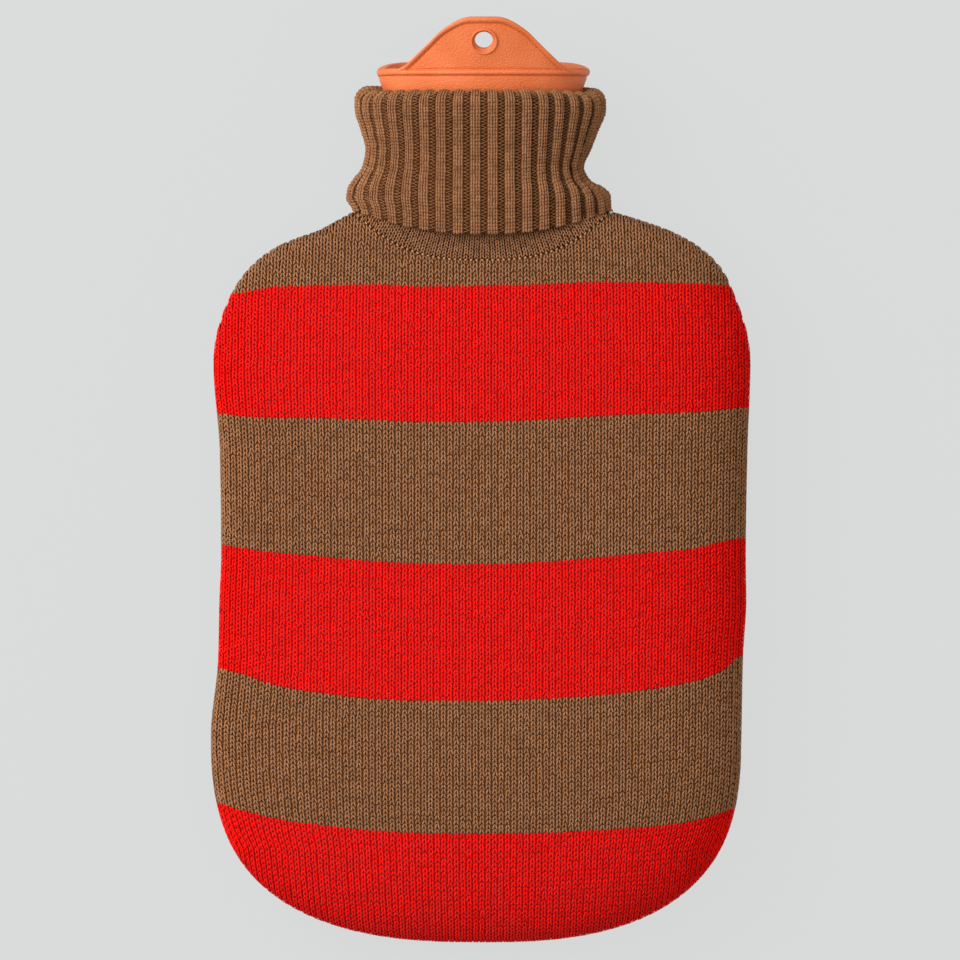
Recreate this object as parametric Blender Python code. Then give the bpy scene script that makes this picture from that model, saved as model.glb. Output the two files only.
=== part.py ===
"""A striped, knitted hot water bottle cover with a ribbed roll collar, on the rubber bottle it fits.

It lies on its back.  X runs across the width, Y from the foot to the hanging tab, and Z up from the
surface that the back lies on.  Every shape is worked out from the foot, at Y = 0, and one empty then
carries all the pieces so that the middle of the whole stands over the origin.  Metres.
"""
import math

import bmesh
import bpy
import numpy as np

OVERALL_LENGTH = 0.3598    # foot of the cover to the top of the hanging tab
SIDE_DRIFT = 0.0005        # how much further the left side bulges than the right one, halved

PLAIN_KNIT = 0.0024        # thickness of the plain knit
RIB_KNIT = 0.0033          # thickness of the rib knit, over its ribs
SEAM_GAP = 0.0004          # left between two pieces that are sewn or pressed together

# The cover's body: how far its rounded corners reach, and how square they are.
FOOT_ROUND = 0.075
SHOULDER_START = 0.226
SHOULDER_ROUND = 0.060
CORNER_POWER = 2.6
NECK_BLEND = 8.0           # sharpness of the inside corner between shoulder and neck
FRONT_POWER = 3.0          # squareness of the body's section in front, at the back and at the neck
BACK_POWER = 4.0
NECK_POWER = 2.2
BACK_PRESS = 0.0015        # how far the back is pressed flat by its own weight

# Half-widths of the body before its corners are rounded.
SIDES = np.array([
    # y,    left,   right
    (0.000, 0.1043, 0.1000),
    (0.040, 0.1043, 0.1000),
    (0.080, 0.1053, 0.1007),
    (0.110, 0.1025, 0.1013),
    (0.150, 0.1011, 0.1022),
    (0.190, 0.1018, 0.1030),
    (0.225, 0.1043, 0.1042),
    (0.250, 0.1021, 0.1024),
    (0.265, 0.1016, 0.1052),
    (0.280, 0.0985, 0.1080),
])

# The cover's skin: the neck's half-widths, and the heights of front, side seam and back.
SKIN = np.array([
    # y,    left,   right,  front,  seam,   back
    (0.000, 0.0440, 0.0440, 0.0460, 0.0200, 0.0000),
    (0.226, 0.0440, 0.0440, 0.0460, 0.0200, 0.0000),
    (0.262, 0.0440, 0.0435, 0.0452, 0.0205, 0.0010),
    (0.282, 0.0435, 0.0425, 0.0450, 0.0225, 0.0055),
    (0.292, 0.0415, 0.0390, 0.0448, 0.0260, 0.0090),
    (0.303, 0.0405, 0.0362, 0.0446, 0.0270, 0.0100),
    (0.315, 0.0402, 0.0385, 0.0452, 0.0270, 0.0088),
    (0.328, 0.0420, 0.0420, 0.0482, 0.0270, 0.0058),
])

# The collar's turned-down layer, over its ribs, from the hem up to the fold.
ROLL = np.array([
    # y,     left,   right,  front,  seam,   back
    (0.2600, 0.0500, 0.0505, 0.0500, 0.0270, 0.0035),
    (0.2800, 0.0502, 0.0505, 0.0506, 0.0270, 0.0022),
    (0.2850, 0.0514, 0.0500, 0.0510, 0.0270, 0.0014),
    (0.2890, 0.0524, 0.0485, 0.0513, 0.0270, 0.0010),
    (0.2925, 0.0521, 0.0447, 0.0511, 0.0270, 0.0012),
    (0.2965, 0.0499, 0.0415, 0.0504, 0.0270, 0.0024),
    (0.3010, 0.0465, 0.0398, 0.0498, 0.0270, 0.0032),
    (0.3080, 0.0451, 0.0421, 0.0500, 0.0270, 0.0030),
    (0.3155, 0.0469, 0.0451, 0.0514, 0.0270, 0.0016),
    (0.3235, 0.0493, 0.0480, 0.0530, 0.0270, 0.0000),
    (0.3280, 0.0494, 0.0478, 0.0534, 0.0270, 0.0000),
])

# The neckline seam and the collar's hem dip in the middle, more in front than at the back.
NECKLINE = {"front": 0.2648, "back": 0.2730, "side": 0.2822}
HEM = {"front": 0.2750, "back": 0.2785, "side": 0.2842}
DIP_HALF = 0.0500          # half-width of the dip
DIP_POWER = 2.2            # how long its middle stays level

# The stripes, from the foot up: where each one ends at the side and at the middle.
STRIPES = (
    # yarn,    side end, middle end, rows of faces
    ("red",    0.0523,   0.0420,     6),
    ("brown",  0.1060,   0.0941,     3),
    ("red",    0.1552,   0.1470,     3),
    ("brown",  0.2060,   0.2022,     3),
    ("red",    0.2545,   0.2543,     3),
    ("brown",  NECKLINE["side"], NECKLINE["front"], 6),
)
YARNS = ("brown", "red")
PANEL_COLUMNS = 20
FOOT_EASE = 2.0            # how the rows crowd towards the foot and the shoulder
SHOULDER_EASE = 1.8

RIBS = 36
RIB_HEIGHT = 0.0011
RIB_SHARE = 0.53           # how much of each repeat is the raised rib
FOLD_Y = 0.3280            # where the inner layer starts to turn over
FOLD_RISE = 0.0050
INNER_ROWS = (0.0, 0.3, 0.65, 1.0)
FOLD_TURNS = (0.25, 0.5, 0.75)
ROLL_ROWS = (0.0, 0.13, 0.29, 0.45, 0.60, 0.74, 0.87, 1.0)
# Behind its right side the hem stands out a little.
FLIP_MIDDLE = math.radians(106)
FLIP_HALF = math.radians(24)
FLIP_REACH = 0.0500
FLIP_TOP = 0.2950
FLIP_EASE = 0.0045

# The rubber bottle: its body keeps just clear of the knit, and then come its neck and funnel.
BOTTLE_CLEAR = 0.0004
SIDE_SLACK = 0.0022        # how much further it keeps away inside the side seams and the foot
SLACK_POWER = 5.0
BOTTLE_COLUMNS = 56
BODY_RINGS = (0.0060, 0.0085, 0.013, 0.021, 0.036, 0.075, 0.150, 0.226,
              0.246, 0.258, 0.266, 0.272, 0.2765, 0.280, 0.2825)
THICKER_FROM, THICKER_TO = 0.238, 0.262     # where the bottle makes room for the collar's foot
FUNNEL = np.array([
    # y,     left,   right,  front,  seam,   back
    (0.2870, 0.0360, 0.0342, 0.0402, 0.0262, 0.0124),
    (0.2960, 0.0345, 0.0322, 0.0402, 0.0270, 0.0138),
    (0.3080, 0.0335, 0.0315, 0.0402, 0.0270, 0.0138),
    (0.3180, 0.0335, 0.0328, 0.0406, 0.0270, 0.0134),
    (0.3250, 0.0358, 0.0356, 0.0428, 0.0270, 0.0112),
    (0.3310, 0.0383, 0.0386, 0.0447, 0.0270, 0.0093),
])
RIM = (0.0400, 0.0412, 0.0472, 0.0270, 0.0068)   # left, right, front, middle and back of the rim
RIM_Y = 0.3390
FUNNEL_WALL = 0.0030
FUNNEL_FLOOR = 0.3190
BEAD_WIDTH = 0.0022        # the bead round the rim and the tab
BEAD_RAISE = 0.0009
BAR_WIDTH = 0.0021         # the bar across the foot of the tab
BAR_RAISE = 0.0006
BACK_RIM_RISE = 0.0018     # how much higher the rim is behind than in front
TAB_HEIGHT = 0.0208
TAB_MIDDLE = 0.0010        # the tab's middle line
TAB_HALF = 0.0250          # half-width of the bell that its outline follows, and its shape
TAB_POWER = 4.0
TAB_FLARE = 1.5
TAB_LEAN = math.radians(15)
HOLE_Y = 0.3498
HOLE_RADIUS = 0.0036
HOLE_RING = 0.0053
HOLE_RING_RAISE = 0.0006
HOLE_SIDES = 24

YARN_BROWN = (0.212, 0.089, 0.031)
YARN_RED = (0.638, 0.008, 0.005)
RUBBER_CORAL = (0.905, 0.227, 0.088)


def along(table, column, y):
    """A smooth curve through one column of a table of sections, with no swing past its values."""
    stations, values = table[:, 0], table[:, column]
    climb = np.diff(values) / np.diff(stations)
    before, after = climb[:-1], climb[1:]
    turns = before * after <= 0
    slopes = np.where(turns, 0, 2 * before * after / np.where(turns, 1, before + after))
    slopes = np.concatenate([climb[:1], slopes, climb[-1:]])
    i = np.clip(np.searchsorted(stations, y) - 1, 0, len(stations) - 2)
    step = stations[i + 1] - stations[i]
    t = np.clip((y - stations[i]) / step, 0, 1)
    rise = 3 * t ** 2 - 2 * t ** 3
    return (values[i] + rise * (values[i + 1] - values[i])
            + step * (slopes[i] * t * (1 - t) ** 2 - slopes[i + 1] * t ** 2 * (1 - t)))


def by_side(x, table, y):
    """The left column of a table where x is negative, and the right one elsewhere."""
    return np.where(x < 0, along(table, 1, y), along(table, 2, y))


def rounding(beyond):
    """How a width shrinks from 1 to 0 over a rounded end, as beyond goes from 0 to 1."""
    return (1 - np.clip(beyond, 0, 1) ** CORNER_POWER) ** (1 / CORNER_POWER)


def half_width(x, y):
    """The skin's half-width at y, on the side that x is on."""
    body = by_side(x, SIDES, y) * rounding((FOOT_ROUND - y) / FOOT_ROUND)
    body = body * rounding((y - SHOULDER_START) / SHOULDER_ROUND)
    neck = np.where(y < SHOULDER_START, 0, by_side(x, SKIN, y))
    return (body ** NECK_BLEND + neck ** NECK_BLEND) ** (1 / NECK_BLEND)


def skin_height(x, y, front):
    """Height of the cover's outer face over (x, y), in front or at the back."""
    across = np.clip(np.abs(x) / np.maximum(half_width(x, y), 1e-6), 0, 1)
    end = np.clip((FOOT_ROUND - y) / FOOT_ROUND, 0, 1)
    neck = np.clip((y - SHOULDER_START) / (SKIN[5, 0] - SHOULDER_START), 0, 1)
    seam, crown, back = (along(SKIN, column, y) for column in (4, 3, 5))
    power = np.where(front, FRONT_POWER, BACK_POWER)
    power = power + neck * (NECK_POWER - power)
    bulge = np.sqrt((1 - across ** power) * (1 - end ** CORNER_POWER))
    behind = seam + (back - BACK_PRESS * (1 - neck) - seam) * bulge
    return np.where(front, seam + (crown - seam) * bulge, np.maximum(behind, back))


def dip(line, x, front):
    """The y of the neckline or of the collar's hem at x."""
    middle = np.where(front, line["front"], line["back"])
    return middle + (line["side"] - middle) * np.minimum(np.abs(x) / DIP_HALF, 1) ** DIP_POWER


def even_shares(x, z, count):
    """Positions along a curve, as values of x, that cut it into even lengths."""
    length = np.concatenate([[0], np.cumsum(np.hypot(np.diff(x), np.diff(z)))])
    return np.interp(np.linspace(0, length[-1], count + 1), length, x)


def normals(places, closed=False):
    """Unit normals of a rows x columns grid of places; a closed grid's last column is its first."""
    up = np.gradient(places, axis=0)
    if closed:
        round_trip = np.concatenate([places[:, -2:-1], places, places[:, 1:2]], axis=1)
        across = round_trip[:, 2:] - round_trip[:, :-2]
    else:
        across = np.gradient(places, axis=1)
    out = np.cross(across, up)
    return out / np.linalg.norm(out, axis=-1, keepdims=True)


def placed_grid(bm, places, row_materials=None):
    """Adds a grid of faces whose vertices are moved to a rows x columns array of places."""
    rows, columns = places.shape[:2]
    grid = bmesh.ops.create_grid(bm, x_segments=columns - 1, y_segments=rows - 1, size=0.5)["verts"]
    if row_materials:
        for face in {face for vert in grid for face in vert.link_faces}:
            row = math.floor((face.calc_center_median().y + 0.5) * (rows - 1))
            face.material_index = row_materials[row]
    for vert in grid:
        column = round((vert.co.x + 0.5) * (columns - 1))
        row = round((vert.co.y + 0.5) * (rows - 1))
        vert.co = places[row, column]


def finished(name, bm, colours, roughness, sharp=math.radians(50)):
    """Turns a bmesh into one shaded object with its own materials."""
    mesh = bpy.data.meshes.new(name)
    bmesh.ops.recalc_face_normals(bm, faces=bm.faces)
    bm.to_mesh(mesh)
    bm.free()
    mesh.shade_smooth()
    mesh.set_sharp_from_angle(angle=sharp)
    for label, colour in colours.items():
        material = bpy.data.materials.new(f"{name}_{label}")
        material.use_nodes = True
        shader = material.node_tree.nodes["Principled BSDF"]
        shader.inputs["Base Color"].default_value = (*colour, 1)
        shader.inputs["Roughness"].default_value = roughness
        mesh.materials.append(material)
    return bpy.data.objects.new(name, mesh)


# ---- the two panels of plain knit

def panel_rows(front):
    """For each row of faces' edges: its y at the side, its y in the middle and its stripe."""
    top = NECKLINE["front" if front else "back"]
    rows = []
    side, middle = FOOT_ROUND * (1 - 0.5 ** (1 / CORNER_POWER)), 0.0
    for stripe, (_, side_end, middle_end, count) in enumerate(STRIPES):
        last = stripe == len(STRIPES) - 1
        middle_end = top if last else middle_end
        for step in range(count + last):
            t = step / count
            if stripe == 0:
                t = t ** FOOT_EASE
            elif last:
                t = 1 - (1 - t) ** SHOULDER_EASE
            rows.append((side + t * (side_end - side), middle + t * (middle_end - middle), stripe))
        side, middle = side_end, middle_end
    return rows


def panel_places(front):
    """Places of a panel's outer face, from foot to neckline and from left to right."""
    side, middle = (np.array(column)[:, None] for column in list(zip(*panel_rows(front)))[:2])
    turn = np.linspace(0, 1, 80)
    section = np.sqrt(1 - turn ** FRONT_POWER) * SKIN[0, 3] / SIDES[0, 1]
    half = even_shares(turn, section, PANEL_COLUMNS // 2)
    share = np.concatenate([-half[::-1], half[1:]])[None, :]
    x = half_width(share, side) * share
    # The foot row follows the rounded foot, and the rows change evenly to the neckline's dip.
    corner = 0.5 ** (1 / CORNER_POWER)
    foot = (1 - rounding(corner * np.abs(share))) / (1 - corner)
    level = np.abs(share) ** DIP_POWER
    straight = np.clip(middle / STRIPES[0][2], 0, 1)
    y = middle + (side - middle) * (foot + straight * (level - foot))
    return np.stack([x, y, skin_height(x, y, front)], axis=-1)


def knitted_panel(name, front):
    """One panel: a sheet of plain knit whose edge meets the other panel's along the side seam."""
    outer = panel_places(front)
    outward = normals(outer) * (1 if front else -1)
    outward[:, (0, -1), 2] = outward[0, :, 2] = 0
    outward /= np.linalg.norm(outward, axis=-1, keepdims=True)
    inner = outer - PLAIN_KNIT * outward
    seam = along(SKIN, 4, outer[..., 1]) + (SEAM_GAP if front else -SEAM_GAP) / 2
    everything = slice(None)
    for places in (outer, inner):
        for edge in ((everything, 0), (everything, -1), (0, everything)):
            places[(*edge, 2)] = seam[edge]
    yarns = [YARNS.index(STRIPES[stripe][0]) for _, _, stripe in panel_rows(front)]
    bm = bmesh.new()
    placed_grid(bm, outer, yarns)
    placed_grid(bm, inner, yarns)
    bmesh.ops.bridge_loops(bm, edges=[edge for edge in bm.edges if edge.is_boundary])
    return finished(name, bm, {"brown_yarn": YARN_BROWN, "red_yarn": YARN_RED}, 0.9)


# ---- the collar, a tube of rib knit turned down over itself

def rib_angles():
    """Angles round the neck of each valley and of each rib's two edges, evenly spaced."""
    angle = np.linspace(0, 2 * math.pi, 721)
    x, z = ring(ROLL, 0.3155, angle)
    length = np.concatenate([[0], np.cumsum(np.hypot(np.diff(x), np.diff(z)))])
    shares = [(rib + place) / RIBS for rib in range(RIBS)
              for place in (0, (1 - RIB_SHARE) / 2, (1 + RIB_SHARE) / 2)] + [1.0]
    return np.interp(np.array(shares) * length[-1], length, angle)


def ring(table, y, angle):
    """The x and z of a section of the neck at y; angle 0 is in front, and it turns to the right."""
    across = np.sin(angle)
    x = by_side(across, table, y) * across
    front = np.cos(angle) >= 0
    seam = along(table, 4, y)
    level = np.where(front, along(table, 3, y), along(table, 5, y))
    return x, seam + (level - seam) * np.sqrt(1 - np.abs(across) ** NECK_POWER)


def collar_faces():
    """The two faces of the collar's cloth: against the bottle then outside, and between the layers."""
    angle = rib_angles()
    across, front = np.sin(angle), np.cos(angle) >= 0
    start = dip(NECKLINE, DIP_HALF * across, front) + SEAM_GAP
    y = np.stack([start + share * (FOLD_Y - start) for share in INNER_ROWS])
    neck = half_width(across, np.array(NECKLINE["side"]))
    x = across * np.minimum(half_width(across[None], y), neck)
    skin = np.stack([x, y, skin_height(x, y, front[None])], axis=-1)
    depth = np.array([PLAIN_KNIT] + [RIB_KNIT] * (len(INNER_ROWS) - 1))[:, None, None]
    inside = skin - depth * normals(skin, closed=True)

    hem = dip(HEM, DIP_HALF * across, front)
    y = np.stack([FOLD_Y + share * (hem - FOLD_Y) for share in ROLL_ROWS])
    x, z = ring(ROLL, y, angle[None])
    smooth = np.stack([x, y, z], axis=-1)
    turned = np.clip((angle - FLIP_MIDDLE) / FLIP_HALF, -1, 1)
    lift = np.cos(turned * math.pi / 2) ** 2 * np.clip((FLIP_TOP - y) / FLIP_EASE, 0, 1)
    smooth[..., 0] += np.maximum(FLIP_REACH - x, 0) * lift
    outward = -normals(smooth, closed=True)
    under = smooth - RIB_KNIT * outward
    valley = (np.arange(len(angle)) % 3 == 0)[None, :, None]
    outside = smooth - RIB_HEIGHT * valley * outward

    def fold(low, high, rise, raised):
        rows = []
        for turn in FOLD_TURNS:
            lean = (1 - math.cos(turn * math.pi)) / 2
            row = low + (high - low) * lean
            row[:, 1] = FOLD_Y + (rise - raised) * math.sin(turn * math.pi)
            rows.append(row)
        return np.stack(rows)

    sunk = RIB_HEIGHT * valley[0, :, 0]
    over = fold(inside[-1], outside[0], FOLD_RISE, sunk)
    below = fold(skin[-1], under[0], FOLD_RISE - RIB_KNIT, 0)
    return np.concatenate([inside, over, outside]), np.concatenate([skin, below, under])


def rolled_collar():
    """The collar: one sheet of cloth from its foot over the fold to its hem, closed round the neck."""
    bottle_side, cover_side = collar_faces()
    bm = bmesh.new()
    placed_grid(bm, np.concatenate([bottle_side, cover_side[::-1], bottle_side[:1]]))
    bmesh.ops.remove_doubles(bm, verts=bm.verts, dist=1e-5)
    return finished("collar", bm, {"brown_yarn": YARN_BROWN}, 0.9, sharp=math.radians(80))


# ---- the rubber bottle, with its funnel and its hanging tab

def funnel_ring(sizes, angle, inward=0.0):
    """The x and z of a section of the funnel, whose wall is some way inward of its sizes."""
    left, right, front, middle, back = sizes
    across = np.sin(angle)
    x = np.where(across < 0, left - inward, right - inward) * across
    level = np.where(np.cos(angle) >= 0, front - inward, back + inward)
    return x, middle + (level - middle) * np.sqrt(1 - np.abs(across) ** NECK_POWER)


def bottle_body(angle):
    """The rings of the body, just inside the cover, from its foot to its shoulders."""
    y = np.array(BODY_RINGS)[:, None] + 0 * angle[None]
    across, front = np.sin(angle)[None], (np.cos(angle) >= 0)[None]
    x = across * half_width(across, y)
    skin = np.stack([x, y, skin_height(x, y, front)], axis=-1)
    thicker = np.clip((y - THICKER_FROM) / (THICKER_TO - THICKER_FROM), 0, 1)
    foot = np.clip((FOOT_ROUND - y) / FOOT_ROUND, 0, 1)
    slack = SIDE_SLACK * np.maximum(np.abs(across), foot) ** SLACK_POWER
    depth = BOTTLE_CLEAR + PLAIN_KNIT + thicker * (RIB_KNIT - PLAIN_KNIT) + slack
    return skin - depth[..., None] * normals(skin, closed=True)


def funnel_and_tab(angle):
    """The rings of the neck, the funnel's outside, the tab above its front, and its inside."""
    rings = []

    def add(sizes, y, inward=0.0, forward=0.0):
        x, z = funnel_ring(sizes, angle, inward)
        rings.append(np.stack([x, y + 0 * angle, z + forward], axis=-1))

    for row in FUNNEL:
        add(row[1:], row[0])
    rim_x = funnel_ring(RIM, angle)[0] - TAB_MIDDLE
    front = np.cos(angle) > 0
    bell = TAB_HEIGHT / (1 + (np.abs(rim_x) / TAB_HALF) ** TAB_POWER) ** TAB_FLARE
    rise = np.where(front, bell, BACK_RIM_RISE * np.cos(angle) ** 2)
    edge = RIM_Y + rise
    raised = BAR_RAISE * np.clip(rise / BEAD_WIDTH, 0, 1)
    bar_top = np.minimum(RIM_Y, edge - BEAD_WIDTH - BEAD_RAISE)
    slope = math.tan(TAB_LEAN)
    for y, out in ((bar_top - BAR_WIDTH, 0), (bar_top - BAR_WIDTH * 0.8, raised),
                   (bar_top - BAR_WIDTH * 0.2, raised), (bar_top, 0)):
        add(RIM, y, -out, slope * np.maximum(y - RIM_Y, 0))
    bead_foot = edge - BEAD_WIDTH
    for share in (0.5, 1.0):
        y = bar_top + share * (bead_foot - bar_top)
        add(RIM, y, 0, slope * np.maximum(y - RIM_Y, 0))
    lean = slope * rise
    add(RIM, bead_foot + BEAD_RAISE / 2, -BEAD_RAISE, lean)
    add(RIM, edge, -BEAD_RAISE, lean)
    add(RIM, edge, FUNNEL_WALL, lean)
    add(RIM, RIM_Y + rise / 2 - BAR_WIDTH, FUNNEL_WALL, lean / 2)
    add(RIM, RIM_Y - 2 * BAR_WIDTH, FUNNEL_WALL)
    add(FUNNEL[-2, 1:], FUNNEL[-2, 0], FUNNEL_WALL)
    add(FUNNEL[-3, 1:], FUNNEL_FLOOR, FUNNEL_WALL)
    return np.stack(rings)


def tab_cylinder(name, radius, low, high):
    """A tool square to the tab at its hole, between two distances from the tab's front face."""
    bm = bmesh.new()
    bmesh.ops.create_cone(bm, cap_ends=True, segments=HOLE_SIDES, radius1=radius, radius2=radius,
                          depth=high - low)
    bmesh.ops.translate(bm, verts=bm.verts, vec=(0, 0, (high + low) / 2))
    tool = finished(name, bm, {}, 0.5)
    tool.location = (TAB_MIDDLE, HOLE_Y, RIM[2] + math.tan(TAB_LEAN) * (HOLE_Y - RIM_Y))
    tool.rotation_euler.x = TAB_LEAN
    tool.hide_render, tool.display_type = True, "WIRE"
    return tool


def rubber_bottle():
    """The bottle, one moulding from its foot to the floor of its funnel, and its hole's two tools."""
    angle = np.linspace(0, 2 * math.pi, BOTTLE_COLUMNS + 1)
    bm = bmesh.new()
    placed_grid(bm, np.concatenate([bottle_body(angle), funnel_and_tab(angle)]))
    bmesh.ops.remove_doubles(bm, verts=bm.verts, dist=1e-5)
    bmesh.ops.holes_fill(bm, edges=[edge for edge in bm.edges if edge.is_boundary])
    bottle = finished("bottle", bm, {"coral_rubber": RUBBER_CORAL}, 0.5)
    tools = (tab_cylinder("tab_ring", HOLE_RING, -FUNNEL_WALL / 2, HOLE_RING_RAISE),
             tab_cylinder("tab_hole", HOLE_RADIUS, -3 * FUNNEL_WALL, 3 * FUNNEL_WALL))
    for tool, operation in zip(tools, ("UNION", "DIFFERENCE")):
        modifier = bottle.modifiers.new(tool.name, "BOOLEAN")
        modifier.object, modifier.operation, modifier.solver = tool, operation, "EXACT"
    return bottle, tools


def main():
    for old in list(bpy.data.objects):
        bpy.data.objects.remove(old)
    pieces = bpy.data.collections.new("hot_water_bottle_cover")
    cutters = bpy.data.collections.new("cutters")
    for collection in (pieces, cutters):
        bpy.context.scene.collection.children.link(collection)
    middle = bpy.data.objects.new("middle_of_the_whole", None)
    middle.location = (SIDE_DRIFT, -OVERALL_LENGTH / 2, 0)
    pieces.objects.link(middle)
    bottle, tools = rubber_bottle()
    for piece in (knitted_panel("front_panel", True), knitted_panel("back_panel", False),
                  rolled_collar(), bottle):
        pieces.objects.link(piece)
        piece.parent = middle
    for tool in tools:
        cutters.objects.link(tool)
        tool.parent = middle


main()
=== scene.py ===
"""A striped, knitted hot water bottle cover on its rubber bottle.

Every shape is worked out in metres from the foot of the cover, at y = 0, and is then laid over the
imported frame.
"""
import math
from functools import partial

import bmesh
import bpy
import numpy as np
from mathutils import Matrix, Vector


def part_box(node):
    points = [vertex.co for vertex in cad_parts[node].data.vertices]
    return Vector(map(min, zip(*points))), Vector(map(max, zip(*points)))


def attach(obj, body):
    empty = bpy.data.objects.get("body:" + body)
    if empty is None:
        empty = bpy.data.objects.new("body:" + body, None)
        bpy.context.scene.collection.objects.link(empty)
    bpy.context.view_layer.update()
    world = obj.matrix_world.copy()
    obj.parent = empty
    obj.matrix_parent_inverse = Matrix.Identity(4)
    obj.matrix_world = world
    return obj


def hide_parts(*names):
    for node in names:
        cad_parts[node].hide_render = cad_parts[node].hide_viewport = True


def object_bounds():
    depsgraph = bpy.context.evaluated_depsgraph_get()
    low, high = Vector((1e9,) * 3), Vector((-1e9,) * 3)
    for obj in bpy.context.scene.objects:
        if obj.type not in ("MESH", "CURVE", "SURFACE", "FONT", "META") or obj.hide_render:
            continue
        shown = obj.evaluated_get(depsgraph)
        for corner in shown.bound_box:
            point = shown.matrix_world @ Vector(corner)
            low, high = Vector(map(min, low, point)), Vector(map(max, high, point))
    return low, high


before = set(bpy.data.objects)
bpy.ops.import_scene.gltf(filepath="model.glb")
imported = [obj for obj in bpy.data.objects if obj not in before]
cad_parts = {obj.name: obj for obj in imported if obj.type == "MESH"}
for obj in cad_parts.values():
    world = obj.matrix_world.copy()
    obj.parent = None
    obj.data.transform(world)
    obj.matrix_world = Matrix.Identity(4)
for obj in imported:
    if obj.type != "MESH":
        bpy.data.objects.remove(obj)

CAD_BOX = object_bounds()

# ---- The room: a pale matt floor that the covered bottle lies on, seen from straight above through
# ---- a long lens, in broad soft light that comes mostly from its upper left.
VIEW_WIDTH = 0.3732          # what the picture takes in, at the height of the side seams
VIEW_HEIGHT = 0.020
VIEW_CENTRE = (-0.0003, -0.0003)
VIEW_DISTANCE = 12.0
SENSOR = 36.0                # in millimetres, as the lens is
FLOOR_SIZE = 12.0
FLOOR_DROP = 0.0008          # the floor lies just below the wool that it presses flat
LAMPS = (
    # name,       watts, size, place over the cover's middle
    ("key_lamp",  52.0,  1.5,  (-1.26, 0.66, 1.30)),
    ("top_lamp",  11.0,  1.6,  (0.30, 0.10, 2.40)),
)


def linear(hexed):
    """The linear colour of an sRGB hex value."""
    shares = [int(hexed[i:i + 2], 16) / 255 for i in (0, 2, 4)]
    return (*(s / 12.92 if s <= 0.04045 else ((s + 0.055) / 1.055) ** 2.4 for s in shares), 1)


def node(tree, kind, settings=None, **inputs):
    """Adds one node with its settings; an input is a value or another node's output."""
    made = tree.nodes.new(kind)
    for key, value in (settings or {}).items():
        setattr(made, key, value)
    for key, value in inputs.items():
        socket = made.inputs[int(key[1:]) if key[0] == "_" else key.replace("_", " ")]
        if isinstance(value, bpy.types.NodeSocket):
            tree.links.new(value, socket)
        else:
            socket.default_value = value
    return made


def new_material(name):
    """An empty material: itself, its nodes, and the socket that its finish goes into."""
    made = bpy.data.materials.new(name)
    made.use_nodes = True
    made.node_tree.nodes.clear()
    out = made.node_tree.nodes.new("ShaderNodeOutputMaterial")
    return made, made.node_tree, out.inputs["Surface"]


def linked(name, data):
    """An object of its own in the scene."""
    made = bpy.data.objects.new(name, data)
    bpy.context.scene.collection.objects.link(made)
    return made


camera = linked("camera", bpy.data.cameras.new("camera"))
camera.data.sensor_width = SENSOR
camera.data.lens = SENSOR * VIEW_DISTANCE / VIEW_WIDTH
camera.data.clip_end = 2 * VIEW_DISTANCE
camera.location = (*VIEW_CENTRE, VIEW_HEIGHT + VIEW_DISTANCE)
bpy.context.scene.camera = camera

# Matt card, lit evenly from all round: most of what it gives back is that even glow.
card, tree, surface = new_material("matt_card")
glow = node(tree, "ShaderNodeEmission", Color=linear("DADCDB"), Strength=0.93)
dull = node(tree, "ShaderNodeBsdfDiffuse", Color=linear("323333"))
both = node(tree, "ShaderNodeAddShader", _0=glow.outputs[0], _1=dull.outputs[0])
tree.links.new(both.outputs[0], surface)
bm = bmesh.new()
bmesh.ops.create_grid(bm, x_segments=1, y_segments=1, size=FLOOR_SIZE / 2)
mesh = bpy.data.meshes.new("floor")
bm.to_mesh(mesh)
bm.free()
mesh.materials.append(card)
floor = linked("floor", mesh)
floor.location.z = CAD_BOX[0].z - FLOOR_DROP

for name, watts, size, place in LAMPS:
    lamp = linked(name, bpy.data.lights.new(name, "AREA"))
    lamp.data.energy, lamp.data.size = watts, size
    lamp.location = place
    lamp.rotation_euler = (-lamp.location).to_track_quat("-Z", "Y").to_euler()
world = bpy.data.worlds.new("studio")
world.use_nodes = True
backdrop = world.node_tree.nodes["Background"]
backdrop.inputs["Color"].default_value = linear("F6F6F5")
backdrop.inputs["Strength"].default_value = 0.60
bpy.context.scene.world = world
bpy.context.scene.view_settings.view_transform = "Standard"

# ---- The cover's body: a front and a back panel of plain knit, in six stripes of red and brown
# ---- wool, joined along the sides and the foot.  A stitch shows its two slanting legs, which meet
# ---- at the top; between them the eye looks down on the ground of the knit, in painted shade.
FOOT_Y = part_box("front_panel")[0][1]
SIDE_DRIFT = 0.0005          # how far the cover's middle line lies beside the frame's
WALE, COURSE = 0.00249, 0.00180            # one stitch's width and height
PLAIN_KNIT = 0.0024          # the cloth's thickness
GROUND_DEPTH, SEAM_DEPTH = 0.0006, 0.0003  # how far the ground lies below the outer face
SEAM_GAP = 0.0004
FOOT_ROUND, SHOULDER_START, SHOULDER_ROUND = 0.075, 0.226, 0.060
CORNER_POWER, NECK_BLEND = 2.6, 8.0        # how square the corners and the neck's start are
FRONT_POWER, BACK_POWER, NECK_POWER = 3.0, 4.0, 2.2    # how flat the panels and the neck are
NECK_Y = 0.303               # where the neck is slimmest
BACK_PRESS = 0.0015          # how far the floor flattens the back

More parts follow.
